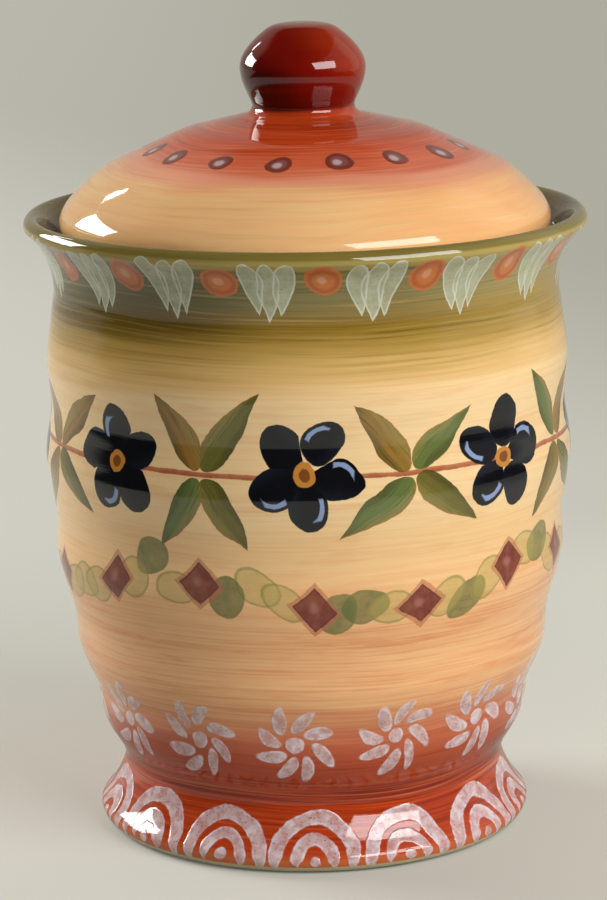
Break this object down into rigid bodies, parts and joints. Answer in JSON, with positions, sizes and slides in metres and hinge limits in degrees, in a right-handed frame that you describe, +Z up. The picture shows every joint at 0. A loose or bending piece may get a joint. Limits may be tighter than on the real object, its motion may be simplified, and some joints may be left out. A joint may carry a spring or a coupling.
{
  "type": "kitchen canister",
  "caption": "Turned stoneware storage jar with a flared lip and foot, and a domed lid with a knob that drops into the lip and seals with a silicone ring.",
  "frame": {"origin": "on the floor, in the middle of the foot", "axes": "+Z up along the jar's axis, towards the knob; -Y towards the viewer of the picture, +X to the right"},
  "size_m": [0.18, 0.18, 0.2586],
  "materials": {
    "jar_glaze": "clear gloss glaze over hand-painted stoneware",
    "lid_glaze": "clear gloss glaze over hand-painted stoneware",
    "knob_glaze": "deep gloss glaze",
    "seal_silicone": "matte moulded silicone"
  },
  "bodies": {
    "jar": {"canister_body": "jar_glaze"},
    "seal": {"lid_seal": "seal_silicone"},
    "lid": {"lid": "lid_glaze", "lid_knob": "knob_glaze"}
  },
  "joints": [
    {"name": "lid_lift", "type": "slide", "parent": "jar", "child": "seal", "axis": [0, 0, 1], "range_m": [0, 0.08]},
    {"name": "lid_turn", "type": "hinge", "parent": "seal", "child": "lid", "pos_m": [0, 0, 0.1896], "axis": [0, 0, 1], "continuous": true}
  ]
}
